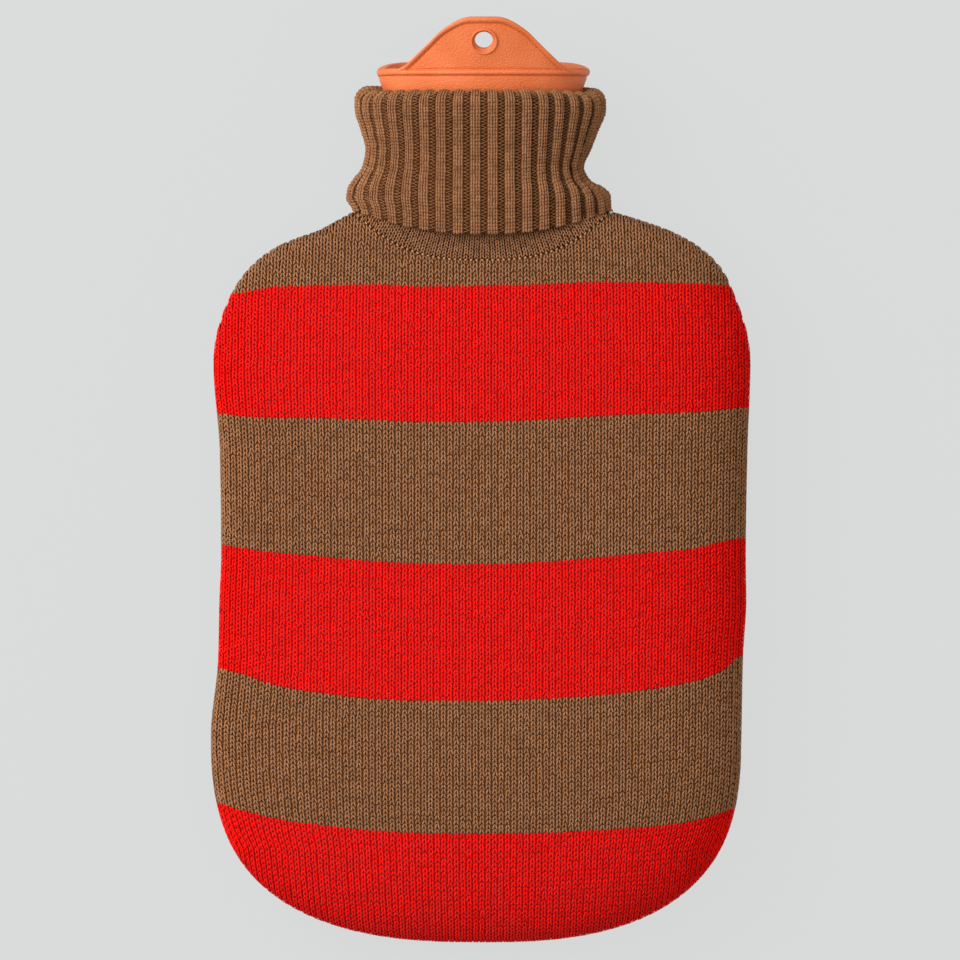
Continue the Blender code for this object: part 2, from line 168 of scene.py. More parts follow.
SIDES = np.array([
    # y,    left,   right half-width before the corners are rounded
    (0.000, 0.1043, 0.1000),
    (0.040, 0.1043, 0.1000),
    (0.080, 0.1053, 0.1007),
    (0.110, 0.1025, 0.1013),
    (0.133, 0.1020, 0.1026),
    (0.150, 0.1013, 0.1024),
    (0.190, 0.1018, 0.1030),
    (0.225, 0.1043, 0.1042),
    (0.250, 0.1021, 0.1024),
    (0.265, 0.1016, 0.1052),
    (0.270, 0.1005, 0.1062),
    (0.274, 0.0968, 0.1070),
    (0.277, 0.0922, 0.1074),
    (0.281, 0.0948, 0.1080),
    (0.284, 0.0985, 0.1090),
])
SKIN = np.array([
    # y,    left,   right,  front,  seam,   back
    (0.000, 0.0440, 0.0440, 0.0460, 0.0200, 0.0000),
    (0.226, 0.0440, 0.0440, 0.0460, 0.0200, 0.0000),
    (0.262, 0.0460, 0.0450, 0.0452, 0.0205, 0.0010),
    (0.282, 0.0500, 0.0495, 0.0450, 0.0225, 0.0055),
    (0.292, 0.0415, 0.0390, 0.0448, 0.0260, 0.0090),
    (0.303, 0.0405, 0.0362, 0.0446, 0.0270, 0.0100),
    (0.315, 0.0402, 0.0385, 0.0452, 0.0270, 0.0088),
    (0.328, 0.0420, 0.0420, 0.0482, 0.0270, 0.0058),
])
# The y of the neckline in the middle of each panel and at its ends, and how late it turns up.
NECKLINE = {"front": 0.2648, "back": 0.2730, "side": 0.2838, "power": 2.8}
DIP_HALF = 0.0500

# The stripes from the foot up, each with its yarn and courses, and the y of their upper edges at
# some places across the cover.
STRIPES = (("red", 27), ("brown", 30), ("red", 30), ("brown", 30), ("red", 30), ("brown", 18))
STRIPE_EDGES = np.array([
    # x
    (-0.101, 0.0537, 0.1062, 0.1544, 0.2053, 0.2520, 0.2850),
    (-0.093, 0.0512, 0.1040, 0.1531, 0.2042, 0.2525, 0.2855),
    (-0.080, 0.0481, 0.0998, 0.1514, 0.2036, 0.2546, 0.2860),
    (-0.062, 0.0456, 0.0967, 0.1498, 0.2035, 0.2550, 0.2860),
    (-0.042, 0.0436, 0.0946, 0.1480, 0.2029, 0.2554, 0.2860),
    (-0.022, 0.0425, 0.0938, 0.1471, 0.2020, 0.2546, 0.2860),
    (0.000, 0.0423, 0.0938, 0.1469, 0.2021, 0.2549, 0.2860),
    (0.022, 0.0426, 0.0945, 0.1477, 0.2030, 0.2553, 0.2860),
    (0.042, 0.0435, 0.0957, 0.1492, 0.2041, 0.2563, 0.2860),
    (0.062, 0.0448, 0.0979, 0.1512, 0.2051, 0.2561, 0.2860),
    (0.080, 0.0468, 0.1009, 0.1527, 0.2057, 0.2559, 0.2860),
    (0.093, 0.0503, 0.1054, 0.1557, 0.2068, 0.2553, 0.2855),
    (0.0995, 0.0530, 0.1112, 0.1570, 0.2076, 0.2551, 0.2850),
])

# One leg of a stitch, from where it dives in at the top to where it dives in at the foot, and the
# same with fewer turns for the back, which lies on the floor.
LEG = np.array([
    # wales out, courses up, height,   half-thickness
    (0.05,       0.80,      -0.00070,  0.0),
    (0.13,       0.46,       0.00010,  0.00048),
    (0.23,       0.02,       0.00015,  0.00056),
    (0.31,      -0.42,       0.00000,  0.00050),
    (0.36,      -0.86,      -0.00070,  0.0),
])
BACK_LEG = LEG[[0, 2, 4]] * (1, 1, 1, 1.1)
FLATNESS = 0.7               # how far each yarn is pressed flat
SEAM_WALES, SEAM_RELIEF = 2.0, 0.3         # how wide the drawn-in seams are, and what is left there
FULL_WIDTH = (0.036, 0.228)  # from where to where the outermost wales keep along the sides
COUNT_Y, SPARE_POWER = 0.15, 3             # where the wales are counted, and how the spare fades
STRETCH_Y = (0.220, 0.262)   # along the body and at the shoulders, how much of the depth of its
SIDE_STRETCH = (0.5, 0.2)    # rounded sides takes new wales
DRAW_LENGTH, DRAW_POWER = 0.050, 1.5       # over what length the wales draw together at the ends
FOOT_DRAW, SHOULDER_DRAW, SHOULDER_DRAW_Y = 0.05, 0.02, 0.232
CLOSING = (0.030, 0.235)     # below the one and above the other the side seams only close in
WALES_OUT = 50               # more than lie between the middle line and a side seam
OVER_ENDS, OVER_SIDES = 0.5, 0.35          # how far the last stitches pass the seams, in stitches
OVER_NECK, NECK_SQUEEZE = 0.0004, 0.0002   # how far they pass the neckline, and then stop below it
SHAKE, SPREAD = (0.035, 0.05, 0.00004), 0.05           # how uneven their places and sizes are
UNEVEN = np.random.default_rng(7)
NEAR = (0.4, 0.4)            # how near, in wales and courses, the cloth's slope is taken


def along(table, column, y):
    """A smooth curve through one column of a table of sections, with no swing past its values."""
    stations, values = table[:, 0], table[:, column]
    climb = np.diff(values) / np.diff(stations)
    before, after = climb[:-1], climb[1:]
    turns = before * after <= 0
    slopes = np.where(turns, 0, 2 * before * after / np.where(turns, 1, before + after))
    slopes = np.concatenate([climb[:1], slopes, climb[-1:]])
    i = np.clip(np.searchsorted(stations, y) - 1, 0, len(stations) - 2)
    step = stations[i + 1] - stations[i]
    t = np.clip((y - stations[i]) / step, 0, 1)
    rise = 3 * t ** 2 - 2 * t ** 3
    return (values[i] + rise * (values[i + 1] - values[i])
            + step * (slopes[i] * t * (1 - t) ** 2 - slopes[i + 1] * t ** 2 * (1 - t)))


def between(table, row, column):
    """A table's value at a row and a column that may lie between two."""
    i = np.minimum(row.astype(int), table.shape[0] - 2)
    j = np.minimum(column.astype(int), table.shape[1] - 2)
    f, g = row - i, column - j
    low, high = ((1 - g) * table[i + k, j] + g * table[i + k, j + 1] for k in (0, 1))
    return (1 - f) * low + f * high


def length_along(*line):
    """Length from the start of a line, given by its coordinates, to each of its points."""
    steps = np.hypot(*(np.diff(values) for values in line))
    return np.concatenate([[0], np.cumsum(steps)])


def by_side(x, table, y):
    """The left column of a table where x is negative, and the right one elsewhere."""
    return np.where(x < 0, along(table, 1, y), along(table, 2, y))


def rounding(beyond):
    """How a width shrinks from 1 to 0 over a rounded end, as beyond goes from 0 to 1."""
    return (1 - np.clip(beyond, 0, 1) ** CORNER_POWER) ** (1 / CORNER_POWER)


def half_width(x, y):
    """The cover's half-width at y, on the side that x is on."""
    body = by_side(x, SIDES, y) * rounding((FOOT_ROUND - y) / FOOT_ROUND)
    body = body * rounding((y - SHOULDER_START) / SHOULDER_ROUND)
    neck = np.where(y < SHOULDER_START, 0, by_side(x, SKIN, y))
    return (body ** NECK_BLEND + neck ** NECK_BLEND) ** (1 / NECK_BLEND)


def skin_height(x, y, front):
    """Height of the cover's outer face over (x, y), in front or at the back."""
    across = np.clip(np.abs(x) / np.maximum(half_width(x, y), 1e-6), 0, 1)
    end = np.clip((FOOT_ROUND - y) / FOOT_ROUND, 0, 1)
    neck = np.clip((y - SHOULDER_START) / (NECK_Y - SHOULDER_START), 0, 1)
    seam, crown, back = (along(SKIN, column, y) for column in (4, 3, 5))
    power = np.where(front, FRONT_POWER, BACK_POWER)
    power = power + neck * (NECK_POWER - power)
    bulge = np.sqrt((1 - across ** power) * (1 - end ** CORNER_POWER))
    behind = seam + (back - BACK_PRESS * (1 - neck) - seam) * bulge
    return np.where(front, seam + (crown - seam) * bulge, np.maximum(behind, back))


def dip(line, x, front):
    """The y of the neckline or of the collar's hem at x."""
    middle = np.where(front, line["front"], line["back"])
    return middle + (line["side"] - middle) * np.minimum(np.abs(x) / DIP_HALF, 1) ** line["power"]


def edge_of(stripe, x):
    """The y of the upper edge of a stripe at x."""
    return along(STRIPE_EDGES, stripe + 1, x)


def unit(vectors):
    """The same directions, one metre long."""
    return vectors / np.maximum(np.linalg.norm(vectors, axis=-1, keepdims=True), 1e-12)


def normals(places, closed=False):
    """Unit normals of a rows x columns grid of places; a closed grid's last column is its first."""
    up = np.gradient(places, axis=0)
    if closed:
        round_trip = np.concatenate([places[:, -2:-1], places, places[:, 1:2]], axis=1)
        across = round_trip[:, 2:] - round_trip[:, :-2]
    else:
        across = np.gradient(places, axis=1)
    return unit(np.cross(across, up))


def outward(place, wale, course, near=NEAR):
    """Unit normals of a cloth whose places are given by wale and course."""
    across = place(wale + near[0], course) - place(wale - near[0], course)
    up = place(wale, course + near[1]) - place(wale, course - near[1])
    return unit(np.cross(across, up))


def laid(place, wale, course, shapes, facing=1, near=NEAR):
    """Shapes, in wales, courses and metres, each laid on the cloth at its own wale and course."""
    spots = place(wale[:, None] + shapes[..., 0], course[:, None] + shapes[..., 1])
    return spots + facing * outward(place, wale, course, near)[:, None] * shapes[..., 2:]


def placed_grid(bm, places):
    """Adds a grid of faces whose vertices are moved to a rows x columns array of places."""
    rows, columns = places.shape[:2]
    grid = bmesh.ops.create_grid(bm, x_segments=columns - 1, y_segments=rows - 1, size=0.5)
    for vert in grid["verts"]:
        column = round((vert.co.x + 0.5) * (columns - 1))
        row = round((vert.co.y + 0.5) * (rows - 1))
        vert.co = places[row, column]


def mesh_of(name, bm):
    """Turns a bmesh into a mesh whose faces point outwards."""
    bmesh.ops.recalc_face_normals(bm, faces=bm.faces)
    mesh = bpy.data.meshes.new(name)
    bm.to_mesh(mesh)
    bm.free()
    return mesh


def shape_of(bm):
    """The corners and the triangles of a bmesh."""
    bm.verts.index_update()
    corners = np.array([vert.co for vert in bm.verts])
    faces = np.array([[vert.index for vert in face.verts] for face in bm.faces])
    bm.free()
    return corners, faces


def piece_of(name, mesh, material):
    """A mesh in the foot's coordinates becomes a piece in the frame's."""
    spots = np.empty(3 * len(mesh.vertices))
    mesh.vertices.foreach_get("co", spots)
    mesh.vertices.foreach_set("co", (spots.reshape(-1, 3) + (SIDE_DRIFT, FOOT_Y, 0)).ravel())
    mesh.shade_smooth()
    mesh.materials.append(material)
    made = linked(name, mesh)
    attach(made, "root")
    return made


def strand(stations, sides):
    """A short length of yarn that tapers into the cloth at both ends, and its triangles.

    Its stations say how far across, how far up, how high and how thick, and its cross-section has
    one corner on top.
    """
    turn = np.linspace(0, 2 * math.pi, sides + 1)[None] + math.pi / 2
    across, up, high, thick = (stations[:, i:i + 1] for i in range(4))
    places = np.stack([across + thick * np.cos(turn), up + 0 * turn,
                       high + FLATNESS * thick * np.sin(turn)], axis=-1)
    bm = bmesh.new()
    placed_grid(bm, places)
    bmesh.ops.remove_doubles(bm, verts=bm.verts, dist=1e-6)
    bmesh.ops.triangulate(bm, faces=bm.faces)
    bmesh.ops.recalc_face_normals(bm, faces=bm.faces)
    return shape_of(bm)


def stitch(half, width, height, sides=3, later=0):
    """Half a stitch and its mirror image, which may lie some courses further up.

    Its corners are in widths, heights and metres.
    """
    corners, faces = strand(half * (width, height, 1, 1), sides)
    corners = corners / (width, height, 1)
    return (np.concatenate([corners, corners * (-1, 1, 1) + (0, later, 0)]),
            np.concatenate([faces, faces[:, ::-1] + len(corners)]))


def many(name, places, faces, material):
    """One mesh of many like shapes: shapes x vertices x 3 places, and the faces of one shape."""
    count, each = places.shape[:2]
    every = (faces[None] + each * np.arange(count)[:, None, None]).reshape(-1, 3)
    mesh = bpy.data.meshes.new(name)
    mesh.from_pydata(places.reshape(-1, 3), [], every)
    return piece_of(name, mesh, material)


class Panel:
    """One panel's knit: the place in space of any point of it, given in wales and courses."""
    ROWS, TURNS, FOOT_STEPS = 360, 240, 400
    ROW_POWER = 1.5          # the rows lie closer together at the foot

    def __init__(self, front):
        self.front = front
        middle = [float(edge_of(stripe, np.array(0.0))) for stripe in range(len(STRIPES))]
        self.y = middle[-1] * np.linspace(0, 1, self.ROWS) ** self.ROW_POWER
        # Each row of these tables is the section at one y, cut into even lengths of cloth.
        share = np.sin(np.linspace(-math.pi / 2, math.pi / 2, 4 * self.TURNS + 1))[None]
        y = self.y[:, None] + 0 * share
        x = half_width(share, y) * share
        z = skin_height(x, y, front)
        stretch = np.interp(self.y, STRETCH_Y, SIDE_STRETCH)[:, None]
        length = np.cumsum(np.hypot(np.diff(x), stretch * np.diff(z)), axis=1)
        length = np.concatenate([0 * x[:, :1], length], axis=1)
        length -= length[:, [2 * self.TURNS]]
        self.left, self.right = -length[:, 0], length[:, -1]
        even = np.linspace(-1, 1, 2 * self.TURNS + 1)
        self.x, self.z = np.empty((2, self.ROWS, len(even)))
        for row in range(self.ROWS):
            wanted = np.where(even < 0, even * self.left[row], even * self.right[row])
            self.x[row] = np.interp(wanted, length[row], x[row])
            self.z[row] = np.interp(wanted, length[row], z[row])
        # Up the middle line, the foot's courses are evenly spaced over its roll.
        self.starts = np.concatenate([[0], np.cumsum([stripe[1] for stripe in STRIPES])])
        foot_y = middle[0] * np.linspace(0, 1, self.FOOT_STEPS) ** 2
        foot = length_along(foot_y, skin_height(0 * foot_y, foot_y, front))
        self.middle_rows = np.concatenate([foot / foot[-1] * STRIPES[0][1], self.starts[2:]])
        self.middle_y = np.concatenate([foot_y, middle[1:]])
        self.foot, self.shoulder = self.y < CLOSING[0], self.y > CLOSING[1]

    def reach(self, a, y):
        """Length of cloth from the middle line to the side seam at y."""
        return np.where(a < 0, np.interp(y, self.y, self.left), np.interp(y, self.y, self.right))

    def ends(self, a):
        """The y of the foot's and the shoulder's seam, a length of cloth out from the middle."""
        out = np.abs(a)
        return [np.where(a < 0, np.interp(out, self.left[rows][::way], self.y[rows][::way]),
                         np.interp(out, self.right[rows][::way], self.y[rows][::way]))
                for rows, way in ((self.foot, 1), (self.shoulder, -1))]

    def spare(self, wale, y):
        """How far the outer wales move with the sides, as the body gets wider and slimmer."""
        full = self.reach(wale, np.clip(y, *FULL_WIDTH))
        count = np.rint(self.reach(wale, COUNT_Y) / WALE)
        share = np.minimum(np.abs(wale) / count, 1) ** SPARE_POWER
        return (full - count * WALE) * np.sign(wale) * share

    def lean(self, y):
        """How the wales draw together towards the foot and the shoulders."""
        foot = np.clip((DRAW_LENGTH - y) / DRAW_LENGTH, 0, 1) ** DRAW_POWER
        shoulder = np.clip((y - SHOULDER_DRAW_Y) / DRAW_LENGTH, 0, 1) ** DRAW_POWER
        return 1 - FOOT_DRAW * foot - SHOULDER_DRAW * shoulder

    def section(self, a, y):
        """x and z at y, some length of cloth out from the middle line."""
        turn = (np.clip(a / np.maximum(self.reach(a, y), 1e-9), -1, 1) + 1) * self.TURNS
        row = np.interp(y, self.y, np.arange(self.ROWS))
        return [between(table, row, turn) for table in (self.x, self.z)]

    def flat(self, wale, course, held=True):
        """Length of cloth out from the middle line, and y; what is held ends at the seams."""
        middle = np.interp(course, self.middle_rows, self.middle_y)
        # Each course bends as the edges of the two stripes around it do; x settles in three rounds.
        shares = [np.interp(course, self.starts[1:], row) for row in np.eye(len(STRIPES))]
        x = wale * WALE
        for _ in range(3):
            y = middle + sum(share * (edge_of(stripe, x) - edge_of(stripe, 0 * x))
                             for stripe, share in enumerate(shares))
            a = (wale * WALE + self.spare(wale, y)) * self.lean(y)
            x = self.section(a, y)[0]
        if held:
            low, high = self.ends(a)
            y = y + np.clip(low - y, 0, COURSE) - np.clip(y - high, 0, COURSE)
        return a, y

    def place(self, wale, course):
        """The point in space."""
        a, y = self.flat(wale, course)
        x, z = self.section(a, y)
        return np.stack([x, y, z], axis=-1)

    def relief(self, wale, course):
        """How far the stitches stand out: they are drawn in along the side seams and the foot."""
        a, y = self.flat(wale, course)
        beside = np.minimum((self.reach(a, y) - np.abs(a)) / WALE, course) / SEAM_WALES
        return SEAM_RELIEF + (1 - SEAM_RELIEF) * np.clip(beside, 0, 1)

    def stitches(self, stripe):
        """Wale and course of each stitch of a stripe that lies inside the panel's edges."""
        wale, course = (spots.ravel() for spots in np.meshgrid(
            np.arange(-WALES_OUT, WALES_OUT + 1.0),
            0.5 + np.arange(self.starts[stripe], self.starts[stripe + 1])))
        a, y = self.flat(wale, course, held=False)
        low, high = self.ends(a)
        top = dip(NECKLINE, self.section(a, y)[0], self.front) + OVER_NECK
        top = np.minimum(top, high + OVER_ENDS * COURSE)
        inside = (y > low - OVER_ENDS * COURSE) & (y < top)
        inside &= np.abs(a) < self.reach(a, np.clip(y, low, high)) + OVER_SIDES * WALE
        return wale[inside], course[inside]


def shaken(shape, count):
    """One shape many times over, each a little out of place and of its own size."""
    move = UNEVEN.normal(0, 1, (count, 1, 3)) * SHAKE
    size = 1 + UNEVEN.normal(0, SPREAD, (count, 1, 3))
    return shape[None] * size + move


SHADE_LENGTH = 1 / 330       # the wool changes its shade about every 3 mm
HAIR_WIDTH = 1 / 1500        # its hair is far finer, and drawn 0.7 mm wide so that it shows


def wool(name, light, dark, sunk=None):
    """Two-ply wool: dull and a little hairy, each length of it slightly lighter or darker.

    A cloth whose "sunk" attribute says where its valleys are takes a third colour there, painted
    shade in the valleys.
    """
    made, tree, surface = new_material(name)
    at = node(tree, "ShaderNodeTexCoord").outputs["Object"]
    patch = node(tree, "ShaderNodeTexNoise", Vector=at, Scale=1 / SHADE_LENGTH, Detail=1.0)
    hair = node(tree, "ShaderNodeTexNoise", Vector=at, Scale=1 / HAIR_WIDTH, Detail=2.0)
    both = node(tree, "ShaderNodeMath", {"operation": "ADD"}, _0=patch.outputs["Fac"],
                _1=hair.outputs["Fac"])
    share = node(tree, "ShaderNodeMapRange", Value=both.outputs[0], From_Min=0.75, From_Max=1.25)
    colour = node(tree, "ShaderNodeMix", {"data_type": "RGBA"}, _0=share.outputs[0],
                  _6=linear(dark), _7=linear(light))
    if sunk:
        depth = node(tree, "ShaderNodeAttribute", {"attribute_name": "sunk"}).outputs["Fac"]
        colour = node(tree, "ShaderNodeMix", {"data_type": "RGBA"}, _0=depth, _6=colour.outputs[2],
                      _7=linear(sunk))
    bump = node(tree, "ShaderNodeBump", Strength=0.3, Distance=0.0002, Height=hair.outputs["Fac"])
    finish = node(tree, "ShaderNodeBsdfPrincipled", Base_Color=colour.outputs[2], Roughness=0.9,
                  Sheen_Weight=0.04, Sheen_Roughness=0.5, Specular_IOR_Level=0.05,
                  Normal=bump.outputs[0])
    tree.links.new(finish.outputs[0], surface)
    return made


YARNS = {"brown": wool("brown_wool", "9B6C4A", "835737"),
         "red": wool("red_wool", "E7120B", "D50902")}

# The ground of the knit: the same wool without a shine, its colour painted shade, as dark as the
# knit looks deep between the stitches.  Its stripes follow the courses, which an attribute of the
# cloth counts.
GROUND_PAINTED_SHADES = {"brown": "764418", "red": "E20000"}
painted_shade_ground, tree, surface = new_material("wool_ground_painted_shade")
courses = node(tree, "ShaderNodeAttribute", {"attribute_name": "courses"})
stripes = node(tree, "ShaderNodeValToRGB", Fac=courses.outputs["Fac"])
stripes.color_ramp.interpolation = "CONSTANT"
stops = stripes.color_ramp.elements
total = sum(count for _, count in STRIPES)
start = 0
for number, (yarn, count) in enumerate(STRIPES):
    stop = stops[number] if number < len(stops) else stops.new(start / total)
    stop.position, stop.color = start / total, linear(GROUND_PAINTED_SHADES[yarn])
    start += count
finish = node(tree, "ShaderNodeBsdfPrincipled", Base_Color=stripes.outputs["Color"], Roughness=1.0,
              Specular_IOR_Level=0.0)
tree.links.new(finish.outputs[0], surface)

GROUND_COLUMNS, GROUND_ROWS, GROUND_POWER = 48, 96, 1.4
FIRST_EDGE = 0.0423          # where the lowest stripe ends, up the middle
BELOW_FOOT = 0.02            # how far below the foot the count of courses starts
for name, front in (("front_panel", True), ("back_panel", False)):
    panel, facing = Panel(front), 1 if front else -1
    leg, sides = (LEG, 3) if front else (BACK_LEG, 4)
    shape, faces = stitch(leg, WALE, COURSE, sides)
    worn, area = [], 0.0
    for number, (yarn, _) in enumerate(STRIPES):
        wale, course = panel.stitches(number)
        area += len(wale) * WALE * COURSE
        wanted = shaken(shape, len(wale))
        wanted[..., 2] *= panel.relief(wale, course)[:, None]
        places = laid(panel.place, wale, course, wanted, facing)
        # The topmost stitches are squeezed into the seam with the collar.
        top = dip(NECKLINE, places[..., 0], front) - NECK_SQUEEZE
        places[..., 1] = np.minimum(places[..., 1], top)
        worn.append(many(f"{name}_stitches_{number + 1}", places, faces[:, ::facing],
                         YARNS[yarn]))

    # The sheet under the stitches, from the rounded foot to the neckline and from seam to seam.
    # Its own lower corners lie in the middle of the cover's rounded ones.
    turn = np.linspace(-1, 1, GROUND_COLUMNS + 1)[None]
    share = (np.sin(turn * math.pi / 2) + turn) / 2
    corner = 0.5 ** (1 / CORNER_POWER)
    side_y = np.linspace(FOOT_ROUND * (1 - corner), NECKLINE["side"], GROUND_ROWS)[:, None]
    rise = (side_y - side_y[0]) / (side_y[-1] - side_y[0])
    middle_y = NECKLINE["front" if front else "back"] * rise ** GROUND_POWER
    x = half_width(share, side_y) * share
    foot = (1 - rounding(corner * np.abs(share))) / (1 - corner)
    straight = np.clip(middle_y / FIRST_EDGE, 0, 1)
    bend = foot + straight * (np.abs(share) ** NECKLINE["power"] - foot)
    y = middle_y + (side_y - middle_y) * bend
    skin = np.stack([x, y, skin_height(x, y, front)], axis=-1)
    inward = normals(skin) * -facing
    inward[:, (0, -1), 2] = inward[0, :, 2] = 0
    inward = unit(inward)
    seam = along(SKIN, 4, y) + facing * SEAM_GAP / 2
    bm = bmesh.new()
    for field_depth, edge_depth in ((GROUND_DEPTH, SEAM_DEPTH), (PLAIN_KNIT, PLAIN_KNIT)):
        depth = np.full(x.shape + (1,), field_depth)
        depth[:, (0, -1)] = depth[0] = edge_depth
        places = skin + depth * inward
        for edge in ((slice(None), 0), (slice(None), -1), (0, slice(None))):
            places[(*edge, 2)] = seam[edge]
        placed_grid(bm, places)
    bmesh.ops.bridge_loops(bm, edges=[edge for edge in bm.edges if edge.is_boundary])
    # The sheet's colour is painted shade: the dark seen between the stitches.
    ground = piece_of(f"{name}_ground", mesh_of(f"{name}_ground", bm), painted_shade_ground)
    spots = np.array([vert.co for vert in ground.data.vertices]) - (SIDE_DRIFT, FOOT_Y, 0)
    edges = [edge_of(number, spots[:, 0]) for number in range(len(STRIPES))]
    lower_edges = [0 * edges[0] - BELOW_FOOT] + edges
    courses_up = sum(np.clip((spots[:, 1] - low) / (high - low), 0, 1) * count
                     for low, high, (_, count) in zip(lower_edges, edges, STRIPES))
    counted = ground.data.attributes.new("courses", "FLOAT", "POINT")
    counted.data.foreach_set("value", courses_up / total)
    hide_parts(name)

# ---- The collar: a 2 x 2 rib tube in the brown wool, linked to the neckline by a plain foot and
# ---- turned down over itself.  Each rib shows two wales side by side; in each valley the yarn runs
# ---- to and fro between two wales seen from behind.
RIB_KNIT, RIB_HEIGHT, RIBS = 0.0033, 0.0010, 36
HEM = {"front": 0.2750, "back": 0.2785, "side": 0.2842, "power": 2.2}
FOLD_Y, FOLD_RISE = 0.3280, 0.0050
# The hem's bulge at the right: where it is round the neck, how far out and how far up it reaches,
# and over what height it dies away.
FLIP_MIDDLE, FLIP_HALF = math.radians(106), math.radians(24)
FLIP_REACH, FLIP_TOP, FLIP_EASE = 0.0500, 0.2950, 0.0045
ROLL = np.array([
    # y,     left,   right,  front,  seam,   back
    (0.2600, 0.0500, 0.0505, 0.0500, 0.0270, 0.0035),
    (0.2800, 0.0490, 0.0505, 0.0506, 0.0270, 0.0022),
    (0.2850, 0.0503, 0.0500, 0.0510, 0.0270, 0.0014),
    (0.2890, 0.0527, 0.0493, 0.0513, 0.0270, 0.0010),
    (0.2925, 0.0523, 0.0468, 0.0511, 0.0270, 0.0012),
    (0.2965, 0.0499, 0.0413, 0.0504, 0.0270, 0.0024),
    (0.3010, 0.0465, 0.0393, 0.0498, 0.0270, 0.0032),
    (0.3080, 0.0451, 0.0421, 0.0500, 0.0270, 0.0030),
    (0.3155, 0.0469, 0.0451, 0.0514, 0.0270, 0.0016),
    (0.3235, 0.0493, 0.0480, 0.0530, 0.0270, 0.0000),
    (0.3280, 0.0494, 0.0478, 0.0534, 0.0270, 0.0000),
])
FRONT_DROP, FRONT_SHARE = 0.0021, 0.4      # how much lower the fold is in front, and how wide
CORNER_DROPS = {"left": 0.0006, "right": 0.0014}       # how much lower it is at its two corners
RIB_COURSES, FOLD_COURSES = 37, 10         # hem to fold, and over the fold
RIB_WIDTH, RIB_COURSE = 0.00680, 0.00144
RIB_SHIFT = 0.12             # how far, in ribs, they lie to the right of the middle
WALE_SPOTS = (0.345, 0.655)  # the two wales of a rib
VALLEY_EDGE = (0.12, 0.33)   # where its valley's floor ends, and where its own level starts
RIB_GROUND = 0.0002
SIDE_VALLEYS = {"left": 0.9, "right": 1.7} # how much deeper the valleys beside the neck are
SIDE_POWER = 4               # how close to the neck's sides they and the fold's corners keep
RIB_LEG = np.array([
    # ribs out, courses up, height,   half-thickness
    (0.058,     0.80,      -0.00040,  0.0),
    (0.070,     0.25,       0.00000,  0.00062),
    (0.086,    -0.35,      -0.00005,  0.00064),
    (0.094,    -0.90,      -0.00055,  0.0),
])
# Half a turn of the yarn in the valley; the other half is its mirror image, half a course on.
VALLEY_TURN = np.array([
    # ribs out, courses up, height,   half-thickness
    (-0.200,   -0.20,      -0.00070,  0.0),
    (-0.130,    0.00,       0.00025,  0.00048),
    (0.130,     0.50,       0.00025,  0.00048),
    (0.200,     0.70,      -0.00070,  0.0),
])
RIB_SHAKE, RIB_SPREAD = (0.008, 0.05, 0.00003), 0.04   # how uneven their places and sizes are
RIB_NEAR = (0.1, 0.3)        # how near, in ribs and courses, their slope is taken
BAND_WALE, BAND_COURSE = 0.00215, 0.00122  # the plain foot between the neckline and the ribs
BAND_YARN, BAND_START = 0.85, 0.7          # how thick its yarn is, and its first course
BAND_FAN = 14.0              # how fast its wales draw together, for each metre up
BAND_ROWS = {"front": 13, "back": 8}
BAND_GROUND = 0.0007
BAND_SIDE = 0.999            # it ends just short of the cover's sides
SEAM_HALF, SEAM_STEPS = 0.0510, 400        # half the neckline's width, and the steps along it
CHAIN_PITCH, CHAIN_BEAD, CHAIN_RISE = 0.00210, (0.00064, 0.00048, 0.00045), 0.0005
CHAIN_COURSE, CHAIN_SPREAD = -0.2, 0.08    # where the loops lie, and how uneven they are


def ring(table, y, angle):
    """The x and z of a section of the neck at y; angle 0 is in front, and it turns to the right."""
    across = np.sin(angle)
    x = by_side(across, table, y) * across
    front = np.cos(angle) >= 0
    seam = along(table, 4, y)
    level = np.where(front, along(table, 3, y), along(table, 5, y))
    return x, seam + (level - seam) * np.sqrt(np.maximum(1 - np.abs(across) ** NECK_POWER, 0))


# Row by row, the angle of every eighth of a rib: the ribs run straight up in front and behind, and
# draw together towards the sides where the neck is slim.
GIRTH_STEPS, GATHER_POWER, ROLL_ROWS = 720, 2.8, 40
circle = np.linspace(0, 2 * math.pi, GIRTH_STEPS + 1)
eighths = np.linspace(0, RIBS, 8 * RIBS + 1)
quarter = np.minimum(eighths // (RIBS / 4), 3).astype(int)
nearest = np.array([0, 2, 2, 4])[quarter]
count = np.abs(eighths - nearest * RIBS / 4)
ROLL_Y = np.linspace(ROLL[0, 0], FOLD_Y, ROLL_ROWS)
RIB_ANGLES = np.empty((ROLL_ROWS, len(eighths)))
for row, y in enumerate(ROLL_Y):
    length = length_along(*ring(ROLL, y + 0 * circle, circle))
    marks = length[::GIRTH_STEPS // 4]
    spare = RIB_WIDTH * RIBS / 4 - np.diff(marks)[quarter]
    out = RIB_WIDTH * count - spare * (count / (RIBS / 4)) ** GATHER_POWER
    at = marks[nearest] + np.where(quarter % 2 == 0, out, -out)
    RIB_ANGLES[row] = np.interp(at, length, circle)


def rib_angle(rib, y):
    """The angle at which a rib crosses y."""
    row = np.clip((y - ROLL_Y[0]) / (ROLL_Y[-1] - ROLL_Y[0]), 0, 1) * (ROLL_ROWS - 1)
    return between(RIB_ANGLES, row, (rib + RIB_SHIFT) % RIBS * 8)


